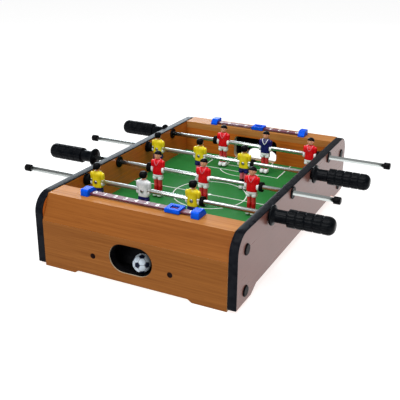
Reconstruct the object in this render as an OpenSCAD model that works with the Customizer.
// Tabletop foosball table with four sliding, turning rods of three players each.
// +Z is up, X runs along the rods and Y along the pitch. The origin is the centre
// of the table on the plane that its feet stand on. Millimetres.

/* [Table] */
// Width over the two side boards
table_w = 310; // [310:1:330]
// Length of the side boards, which is the length of the table
table_l = 494; // [490:1:520]
// Height of the top edge of the side boards
table_h = 107; // [107:0.5:112]
// Thickness of a side board
side_t = 12.5; // [12:0.5:13]
// Thickness of the boards that make up the two ends
end_t = 12; // [11:0.5:12]
// Radius of the side boards' upper corners
corner_r = 28; // [20:1:32]
// Thickness of the black edge band
band_t = 1.8; // [1:0.1:1.8]
// Height of the playing surface
field_z = 49; // [48:0.5:50]

/* [Ends] */
// Height of the crease between an end's upright and sloping faces
crease_z = 70; // [68:1:72]
// Distance from the outer face to the top face, along the table
slope_run = 17; // [14:1:20]
// Distance from the outer face to the goal wall's inner face
end_depth = 52; // [50:1:56]
// Width of a goal mouth
goal_w = 84; // [70:1:90]
// Height of a goal mouth
goal_h = 41; // [36:1:41]
// Width of the ball slot in an end board
slot_w = 67; // [60:1:70]
// Height of the ball slot in an end board
slot_h = 42; // [36:1:46]

/* [Rods] */
// Height of the rods' axes
rod_z = 96.5; // [96:0.1:96.6]
// Distance between neighbouring rods
rod_pitch = 92; // [92:0.5:94]
// Diameter of a rod
rod_d = 7; // [6:0.1:8]
// Distance between neighbouring players on a rod
player_pitch = 80.5; // [78:0.5:81]
// Where rod 1 rests, from -1 at the left end of its travel to 1 at the right end
rod_1_place = 1; // [-1:0.01:1]
// Where rod 2 rests
rod_2_place = -0.97; // [-1:0.01:1]
// Where rod 3 rests
rod_3_place = 0.26; // [-1:0.01:1]
// Where rod 4 rests
rod_4_place = -1; // [-1:0.01:1]

/* [Handles] */
// Length of a handle with its collar
handle_l = 88; // [80:0.5:95]
// Diameter of the ribbed grip
grip_d = 25; // [22:0.5:27]
// Diameter of the smooth neck
neck_d = 18.5; // [16:0.5:20]
// Diameter of the collar
collar_d = 29; // [26:0.5:30]

/* [Score counters] */
// Length of a counter over its two brackets
counter_w = 183; // [170:1:190]
// Where the middle of the front counter is, right of the middle of the table
front_counter_x = -4; // [-6:0.5:6]
// Where the front marker rests along its strip
front_marker_x = 51; // [-60:1:60]
// Where the rear marker rests along its strip
rear_marker_x = 1; // [-60:1:60]

/* [Ball] */
// Diameter of the ball
ball_d = 26; // [24:0.5:28]
// Where the ball lies along the slot
ball_x = 10.8; // [-11:0.1:11]

/* [Hidden] */
$fn = 48;

// A shape cut out of another runs past its faces by this much.
past = 1;
half_w = table_w / 2;
half_l = table_l / 2;
inner_half_w = half_w - side_t;

// Side boards: lifted off the feet plane, with a shallow recess between their ends.
board_lift = 4;
side_foot_l = 50;
recess_ramp = 18;
recess_h = 9;
tongue_t = 2;
tongue_depth = 2.5;

// Playing surface, held in grooves in the boards around it.
field_t = 3;
groove_depth = 4;
field_half_l = half_l - end_depth;

// Ends: boards that meet in mitres, a little below the edge bands.
top_z = table_h - 1;
under_z = top_z - end_t;
lean = atan2(slope_run, top_z - crease_z);
low_mitre_z = crease_z - end_t * tan(lean / 2);
high_mitre = slope_run + end_t * tan((90 - lean) / 2);
wall_depth = end_depth - end_t;
foot_w = 50.5;
foot_rise = 4;
foot_ramp = 6;
goal_r = 8;
sill_z = field_z + 1;
slot_z = 40;

// Goal boxes: thin shells behind the goal mouths, open to the ball slots.
box_wall = 1.5;
box_w = goal_w + 1 + 2 * box_wall;
box_floor_z = slot_z - slot_h / 2 + 1;
box_flat = 14;
lining_t = 1;
lining_inset = 2;
box_flange = [22, 2, 14];
box_screw_x = 60;
box_screw_z = 33.2;
box_screw_d = 4;
box_screw_head_d = 8;
box_screw_l = 18;

// Bolts that hold the sides to the blocks in the ends' corners.
bolt_inset = 29;
bolt_heights = [20, 79.5];
bolt_d = 6;
bolt_l = 26;
bolt_head_d = 16;
bolt_head_t = 2;
block_w = 18;
block_z = 6;
block_gap = 1;

// Bushings: a flanged sleeve in each rod hole, held by a ring inside.
flange_d = 18.5;
flange_t = 2;
sleeve_d = 12;
spigot_d = 10;
run_gap = 0.05;

// Rods: at an end of its travel a rod's bumper stops just short of a ring.
stop_gap = 0.3;
player_half_w = 12.3;
bumper_in = 12.6;
bumper_out = 18;
bumper_d = 15;
travel = inner_half_w - flange_t - player_pitch - bumper_out - stop_gap;
collar_x = half_w + flange_t + stop_gap + travel;
handle_wall = 6;
cap_end = 216;
cap_l = 10;
cap_wall = 3;
cap_d = 11;
rod_wall = 1;
neck_l = 24;
collar_t = 3.5;
rod_places = [rod_1_place, rod_2_place, rod_3_place, rod_4_place];
// Rods 1 and 3 have their handles on the left, rods 2 and 4 on the right.
handle_sides = [-1, 1, -1, 1];
// Rods 1 and 3 face the front end, rods 2 and 4 the rear end.
facing = [0, 180, 0, 180];

// Players, measured from the rod's axis.
head_r = 6.3;
head_z = 23.2;
arm_r = 2.8;
sole_z = -45;
screw_d = 3;
screw_head_d = 5;
screw_head_t = 1.7;
screw_hole_d = 6.2;
screw_seat = 4.6;
red = [0.80, 0.04, 0.08];
navy = [0.08, 0.08, 0.35];
yellow = [0.88, 0.80, 0.12];
white = [0.92, 0.93, 0.95];

// Score counters on the two top boards.
counter_y = half_l - 39.5;
strip_w = 11;
strip_t = 2;
strip_lift = 2;
bracket_w = 11.8;
bracket_d = 23;
bracket_h = 10;
bracket_wall = 3;
marker_w = 22;
marker_d = 20;
marker_h = 5.5;
marker_lift = 1;
window_w = 12;
window_d = 8.5;

function rod_y(n) = rod_pitch * (2.5 - n);
function rod_x(n) = travel * rod_places[n - 1];

// Draws its children on the right and, mirrored, on the left.
module both_sides() {
    children();
    mirror([1, 0, 0]) children();
}

// Turns its children, drawn at the front end, round to the rear end.
module at_rear() {
    rotate([0, 0, 180]) children();
}

// Draws its children at both ends.
module both_ends() {
    children();
    at_rear() children();
}

// Stands an outline drawn in Y and Z as a slab that runs from x to x + t.
module slab(x, t) {
    translate([x, 0, 0]) rotate([90, 0, 90]) linear_extrude(t) children();
}

// Stands an outline drawn in X and Z as a panel that runs from y to y + t.
module panel(y, t) {
    translate([0, y + t, 0]) rotate([90, 0, 0]) linear_extrude(t) children();
}

// A round bar along +X from the origin.
module bar(d, l) {
    rotate([0, 90, 0]) cylinder(d = d, h = l);
}

// A round bar along +Y from y.
module bar_y(d, y, l) {
    translate([0, y, 0]) rotate([-90, 0, 0]) cylinder(d = d, h = l);
}

// ---------- side boards and edge bands, drawn on the right ----------

// Rounded outline of a side in Y and Z, drawn in by inset along its ends and top.
module side_outline(inset) {
    r = corner_r - inset;
    l = half_l - inset;
    h = table_h - inset;
    translate([-l, board_lift]) square([2 * l, h - board_lift - r]);
    translate([r - l, board_lift]) square([2 * (l - r), h - board_lift]);
    for (s = [-1, 1])
        translate([s * (l - r), h - r]) circle(r, $fn = 96);
}

// Tongue in the middle of the board's thickness, reaching out to an inset of start.
module tongue(start) {
    slab(half_w - (side_t + tongue_t) / 2, tongue_t) difference() {
        side_outline(start);
        side_outline(band_t + tongue_depth);
    }
}

module edge_band() {
    color([0.08, 0.09, 0.11]) {
        slab(inner_half_w, side_t) difference() {
            side_outline(0);
            side_outline(band_t);
        }
        tongue(band_t);
    }
}

module side_recess() {
    far = half_l - side_foot_l;
    near = far - recess_ramp;
    polygon([
        [-far, board_lift - past], [-far, board_lift], [-near, board_lift + recess_h],
        [near, board_lift + recess_h], [far, board_lift], [far, board_lift - past]
    ]);
}

module side_board() {
    hole_x = inner_half_w - past;
    hole_l = side_t + 2 * past;
    color([0.65, 0.42, 0.22]) difference() {
        slab(inner_half_w, side_t) difference() {
            side_outline(band_t);
            side_recess();
        }
        tongue(band_t - past);
        translate([hole_x, -field_half_l - groove_depth, field_z - field_t])
            cube([groove_depth + past, 2 * (field_half_l + groove_depth), field_t]);
        for (n = [1:4])
            translate([hole_x, rod_y(n), rod_z]) bar(sleeve_d, hole_l);
        for (y = [-1, 1], z = bolt_heights)
            translate([hole_x, y * (half_l - bolt_inset), z]) bar(bolt_d, hole_l);
    }
}

// ---------- ends, drawn at the front ----------

// A board of an end: a section in depth and Z, drawn along the whole inner width.
module end_section() {
    translate([0, -half_l, 0]) slab(-inner_half_w, 2 * inner_half_w) children();
}

// Ball slot in X and Z, drawn in by inset.
module slot_outline(inset) {
    straight = slot_w - slot_h;
    h = slot_h - 2 * inset;
    translate([-straight / 2, slot_z - h / 2]) square([straight, h]);
    for (s = [-1, 1])
        translate([s * straight / 2, slot_z]) circle(d = h, $fn = 72);
}

module foot_relief() {
    low = inner_half_w - foot_w;
    high = low - foot_ramp;
    polygon([
        [-low, -past], [-low, 0], [-high, foot_rise],
        [high, foot_rise], [low, 0], [low, -past]
    ]);
}

// One screw through an end board into a goal box, its head flush with the board.
module box_screw(l) {
    head_t = (box_screw_head_d - box_screw_d) / 2;
    translate([box_screw_x, -half_l, box_screw_z]) rotate([-90, 0, 0]) {
        cylinder(d1 = box_screw_head_d, d2 = box_screw_d, h = head_t);
        cylinder(d = box_screw_d, h = l);
    }
}

module end_board() {
    color([0.60, 0.37, 0.18]) difference() {
        end_section() polygon([[0, 0], [0, crease_z], [end_t, low_mitre_z], [end_t, 0]]);
        panel(-half_l - past, end_t + 2 * past) {
            slot_outline(0);
            foot_relief();
        }
        both_sides() box_screw(box_screw_l);
    }
}

module slope_board() {
    color([0.66, 0.43, 0.22]) end_section()
        polygon([[0, crease_z], [slope_run, top_z], [high_mitre, under_z], [end_t, low_mitre_z]]);
}

module top_board() {
    color([0.72, 0.50, 0.30]) end_section()
        polygon([[slope_run, top_z], [end_depth, top_z], [end_depth, under_z], [high_mitre, under_z]]);
}

// Goal mouth in X and Z.
module goal_outline() {
    translate([goal_r - goal_w / 2, sill_z]) square([goal_w - 2 * goal_r, goal_h]);
    translate([-goal_w / 2, sill_z + goal_r]) square([goal_w, goal_h - 2 * goal_r]);
    for (s = [-1, 1], z = [sill_z + goal_r, sill_z + goal_h - goal_r])
        translate([s * (goal_w / 2 - goal_r), z]) circle(goal_r);
}

module goal_wall() {
    wall_y = wall_depth - half_l;
    size = [2 * inner_half_w, end_t, under_z - board_lift];
    color([0.50, 0.28, 0.13]) difference() {
        translate([-inner_half_w, wall_y, board_lift]) cube(size);
        panel(wall_y - past, end_t + 2 * past) goal_outline();
        translate([-inner_half_w - past, -field_half_l - groove_depth, field_z - field_t])
            cube([2 * (inner_half_w + past), groove_depth + past, field_t]);
    }
}

// Blocks in the corners, shaped to the inside of an end.
module corner_blocks() {
    high = under_z - block_gap;
    color([0.72, 0.58, 0.40]) both_ends() both_sides() difference() {
        translate([0, -half_l, 0]) slab(inner_half_w - block_w, block_w) polygon([
            [end_t, block_z], [end_t, low_mitre_z - block_gap], [high_mitre, high],
            [wall_depth, high], [wall_depth, block_z]
        ]);
        for (z = bolt_heights)
            translate([inner_half_w - block_w - past, bolt_inset - half_l, z])
                bar(bolt_d, block_w + 2 * past);
    }
}

module playfield() {
    size = 2 * [inner_half_w + groove_depth, field_half_l + groove_depth];
    color([0.16, 0.50, 0.26])
        translate([-size.x / 2, -size.y / 2, field_z - field_t]) cube([size.x, size.y, field_t]);
}

// ---------- goal boxes ----------

// Section of a goal box in depth and Z: level by the slot, then a ramp up to the goal.
module box_outside() {
    high = sill_z + goal_h + box_wall;
    low = box_floor_z - box_wall;
    polygon([
        [end_t, low], [end_t, low_mitre_z - block_gap], [high_mitre, high], [wall_depth, high],
        [wall_depth, sill_z - 2 * box_wall], [end_t + box_flat + box_wall, low]
    ]);
}

module box_inside() {
    high = sill_z + goal_h;
    polygon([
        [end_t - past, box_floor_z], [end_t - past, high], [wall_depth + past, high],
        [wall_depth + past, sill_z], [wall_depth, sill_z], [end_t + box_flat, box_floor_z]
    ]);
}

module goal_box() {
    inside_w = box_w - 2 * box_wall;
    color([0.05, 0.05, 0.06]) difference() {
        translate([0, -half_l, 0]) {
            slab(-box_w / 2, box_w) box_outside();
            both_sides() translate([(box_w - box_wall) / 2, end_t, box_screw_z - box_flange.z / 2])
                cube(box_flange);
        }
        translate([0, -half_l, 0]) slab(-inside_w / 2, inside_w) box_inside();
        both_sides() box_screw(box_screw_l);
    }
}

// Linings of the ball slots: a sleeve in the end board on a wall that closes the goal box.
module slot_linings() {
    w = box_w - 2 * box_wall;
    low = low_mitre_z - block_gap;
    high = sill_z + goal_h;
    color([0.05, 0.05, 0.06]) both_ends() difference() {
        union() {
            translate([0, -half_l, 0]) slab(-w / 2, w) intersection() {
                polygon([
                    [end_t, box_floor_z], [end_t, low], [high_mitre, high + box_wall],
                    [high_mitre + box_wall, high + box_wall], [end_t + box_wall, low],
                    [end_t + box_wall, box_floor_z]
                ]);
                square([wall_depth, high]);
            }
            panel(lining_inset - half_l, end_t - lining_inset) slot_outline(0);
        }
        panel(-half_l - past, end_t + box_wall + 2 * past) slot_outline(lining_t);
    }
}

module goal_box_screws() {
    color([0.10, 0.10, 0.11]) both_ends() both_sides() box_screw(box_screw_l);
}

// ---------- side fasteners and bushings ----------

// Bolts with wide, low heads.
module side_bolts() {
    rim = bolt_head_d / 2;
    color([0.06, 0.06, 0.07]) both_sides() for (y = [-1, 1], z = bolt_heights)
        translate([half_w, y * (half_l - bolt_inset), z]) {
            translate([-bolt_l, 0, 0]) bar(bolt_d, bolt_l);
            rotate([0, 90, 0]) rotate_extrude()
                polygon([
                    [0, 0], [rim, 0], [rim, bolt_head_t / 2],
                    [rim - 1.2, bolt_head_t], [0, bolt_head_t]
                ]);
        }
}

// Puts its children on the outer face of each side board, at each rod.
module at_bushings() {
    both_sides() for (n = [1:4])
        translate([half_w, rod_y(n), rod_z]) children();
}

module bushings() {
    inner_end = -side_t - flange_t;
    color([0.05, 0.05, 0.06]) at_bushings() difference() {
        union() {
            bar(flange_d, flange_t);
            translate([-side_t, 0, 0]) bar(sleeve_d, side_t);
            translate([inner_end, 0, 0]) bar(spigot_d, side_t);
        }
        translate([inner_end - past, 0, 0]) bar(rod_d + 2 * run_gap, side_t + 2 * (flange_t + past));
    }
}

module bushing_rings() {
    color([0.07, 0.07, 0.08]) at_bushings() translate([-side_t - flange_t, 0, 0]) difference() {
        bar(flange_d, flange_t);
        translate([-past, 0, 0]) bar(spigot_d, flange_t + 2 * past);
    }
}

// ---------- rods ----------

// Puts its children on rod n, with the handle's side along +X.
module on_rod(n) {
    translate([rod_x(n), rod_y(n), rod_z]) mirror([handle_sides[n - 1] > 0 ? 0 : 1, 0, 0]) children();
}

// Tube between the end cap and the inside of the handle, drilled for the players' screws.
module rod(n) {
    start = cap_wall - cap_end;
    tube_l = collar_x + handle_l - handle_wall - start;
    color([0.80, 0.83, 0.85]) on_rod(n) difference() {
        translate([start, 0, 0]) bar(rod_d, tube_l);
        translate([start - past, 0, 0]) bar(rod_d - 2 * rod_wall, tube_l + 2 * past);
        for (i = [-1:1])
            translate([i * player_pitch, 0, 0]) bar_y(screw_d, -rod_d, 2 * rod_d);
    }
}

// Solid outline of a handle, from its collar to its rounded end.
module handle_outline() {
    round_r = 9;
    square([collar_d / 2, collar_t]);
    square([neck_d / 2, neck_l + past]);
    translate([0, neck_l]) square([grip_d / 2, handle_l - neck_l - round_r]);
    square([grip_d / 2 - round_r, handle_l]);
    translate([grip_d / 2 - round_r, handle_l - round_r]) intersection() {
        circle(round_r);
        square(round_r);
    }
}

// Handle whose grip is cut into blocks by ring grooves and lengthwise flutes.
module handle(n) {
    ribs = 5;
    flutes = 12;
    groove_w = 1.6;
    groove_d = grip_d - 2;
    rib_l = (handle_l - neck_l - 4) / ribs;
    color([0.05, 0.06, 0.07]) on_rod(n) translate([collar_x, 0, 0]) difference() {
        rotate([0, 90, 0]) rotate_extrude() handle_outline();
        for (i = [1:ribs - 1])
            translate([neck_l + i * rib_l - groove_w / 2, 0, 0]) difference() {
                bar(grip_d + past, groove_w);
                translate([-past, 0, 0]) bar(groove_d, groove_w + 2 * past);
            }
        for (i = [0:flutes - 1])
            rotate([i * 360 / flutes, 0, 0])
                translate([neck_l - past, 0, grip_d / 2]) bar(2, handle_l - neck_l + 2 * past);
        translate([-past, 0, 0]) bar(rod_d, handle_l - handle_wall + past);
    }
}

module end_cap(n) {
    r = cap_d / 2;
    color([0.05, 0.05, 0.06]) on_rod(n) translate([-cap_end, 0, 0]) difference() {
        rotate([0, 90, 0]) rotate_extrude() polygon([[0, 0], [r - 1, 0], [r, 1], [r, cap_l], [0, cap_l]]);
        translate([cap_wall, 0, 0]) bar(rod_d, cap_l);
    }
}

module bumpers(n) {
    color([0.04, 0.04, 0.05]) on_rod(n) both_sides() translate([player_pitch, 0, 0]) difference() {
        translate([bumper_in, 0, 0]) bar(bumper_d, bumper_out - bumper_in);
        bar(rod_d + 2 * run_gap, bumper_out + past);
    }
}

// ---------- players ----------

// Puts its children at player place i on rod n, turned the way that rod faces.
module on_place(n, i) {
    translate([rod_x(n) + i * player_pitch, rod_y(n), rod_z]) rotate([0, 0, facing[n - 1]]) children();
}

// Chest in X and Z, from the waist to the neck.
module chest_outline() {
    polygon([[-8.7, -9], [-8.2, 4], [-9.6, 14.5], [-4, 17.5], [4, 17.5], [9.6, 14.5], [8.2, 4], [8.7, -9]]);
}

// One player facing -Y, with the rod through the chest and a screw in from the back.
module player(n, i, shirt) {
    arm_x = player_half_w - arm_r;
    color(shirt) on_place(n, i) difference() {
        union() {
            translate([0, 0, head_z]) sphere(head_r);
            translate([0, 0, 14]) cylinder(r = head_r / 2, h = 6);
            panel(-6, 12) chest_outline();
            both_sides() {
                translate([arm_x, 0, -4.5]) cylinder(r = arm_r, h = 17);
                translate([arm_x, 0, 12.5]) sphere(arm_r);
                translate([0.4, -4.8, -40]) cube([6.4, 9.2, 24]);
            }
            translate([-9, -6, -17.5]) cube([18, 12, 9.5]);
            translate([-7.7, -8, sole_z]) cube([15.4, 14.5, 6.8]);
        }
        translate([-player_half_w - past, 0, 0]) bar(rod_d, 2 * (player_half_w + past));
        bar_y(screw_d, 0, 8);
        bar_y(screw_hole_d, screw_seat, 8);
    }
}

module player_screws(n) {
    inner_end = 0.5 - rod_d / 2;
    color([0.75, 0.76, 0.78]) for (i = [-1:1]) on_place(n, i) {
        bar_y(screw_d, inner_end, screw_seat - inner_end);
        bar_y(screw_head_d, screw_seat, screw_head_t);
    }
}

// ---------- score counters, drawn at the front ----------

module at_counter() {
    translate([0, -counter_y, top_z]) children();
}

// Moves the front counter's parts to where it is fixed.
module at_front() {
    translate([front_counter_x, 0, 0]) children();
}

module score_strip() {
    strip_l = counter_w - 2 * bracket_wall;
    color([0.50, 0.30, 0.38]) at_counter()
        translate([-strip_l / 2, -strip_w / 2, strip_lift]) cube([strip_l, strip_w, strip_t]);
}

// Block that holds one end of a strip: upright outside, sloping towards the pitch.
module score_bracket() {
    d = bracket_d / 2;
    x = counter_w / 2 - bracket_w;
    color([0.10, 0.25, 0.85]) at_counter() difference() {
        slab(x, bracket_w)
            polygon([
                [-d, 0], [-d, bracket_h - 1.5], [1.5 - d, bracket_h],
                [d - 6.5, bracket_h], [d, 3], [d, 0]
            ]);
        translate([x - past, -strip_w / 2, strip_lift])
            cube([bracket_w - bracket_wall + past, strip_w, strip_t]);
    }
}

module score_brackets() {
    at_front() both_sides() score_bracket();
    at_rear() both_sides() score_bracket();
}

// Window frame that slides along a strip and shows one number.
module score_marker(x) {
    slot = [strip_w + 2 * stop_gap, strip_t + 2 * stop_gap];
    color([0.12, 0.30, 0.88]) at_counter() translate([x, 0, 0]) difference() {
        translate([-marker_w / 2, -marker_d / 2, marker_lift]) cube([marker_w, marker_d, marker_h]);
        translate([-marker_w, -slot.x / 2, strip_lift - stop_gap]) cube([2 * marker_w, slot.x, slot.y]);
        translate([-window_w / 2, -window_d / 2, strip_lift]) cube([window_w, window_d, marker_h]);
    }
}

// ---------- ball ----------

// Lies on the front goal box's floor, in the ball slot.
module ball() {
    rest_gap = 0.1;
    r = ball_d / 2;
    color([0.93, 0.93, 0.92])
        translate([ball_x, r - half_l, box_floor_z + r + rest_gap]) sphere(r, $fn = 64);
}

mirror([1, 0, 0]) side_board();  // side_board_left
side_board();  // side_board_right
mirror([1, 0, 0]) edge_band();  // edge_band_left
edge_band();  // edge_band_right
end_board();  // front_end_board
at_rear() end_board();  // rear_end_board
slope_board();  // front_slope_board
at_rear() slope_board();  // rear_slope_board
top_board();  // front_top_board
at_rear() top_board();  // rear_top_board
goal_wall();  // front_goal_wall
at_rear() goal_wall();  // rear_goal_wall
playfield();
corner_blocks();
goal_box();  // front_goal_box
at_rear() goal_box();  // rear_goal_box
slot_linings();
goal_box_screws();
side_bolts();
bushings();
bushing_rings();
rod(1);  // rod_1
rod(2);  // rod_2
rod(3);  // rod_3
rod(4);  // rod_4
handle(1);  // handle_1
handle(2);  // handle_2
handle(3);  // handle_3
handle(4);  // handle_4
end_cap(1);  // end_cap_1
end_cap(2);  // end_cap_2
end_cap(3);  // end_cap_3
end_cap(4);  // end_cap_4
bumpers(1);  // bumpers_1
bumpers(2);  // bumpers_2
bumpers(3);  // bumpers_3
bumpers(4);  // bumpers_4
player(1, -1, red);  // player_1_left
player(1, 0, navy);  // player_1_middle
player(1, 1, red);  // player_1_right
player(2, -1, yellow);  // player_2_left
player(2, 0, yellow);  // player_2_middle
player(2, 1, yellow);  // player_2_right
player(3, -1, red);  // player_3_left
player(3, 0, red);  // player_3_middle
player(3, 1, red);  // player_3_right
player(4, -1, yellow);  // player_4_left
player(4, 0, white);  // player_4_middle
player(4, 1, yellow);  // player_4_right
player_screws(1);  // player_screws_1
player_screws(2);  // player_screws_2
player_screws(3);  // player_screws_3
player_screws(4);  // player_screws_4
at_front() score_strip();  // front_score_strip
at_rear() score_strip();  // rear_score_strip
score_brackets();
at_front() score_marker(front_marker_x);  // front_score_marker
at_rear() score_marker(-rear_marker_x);  // rear_score_marker
ball();
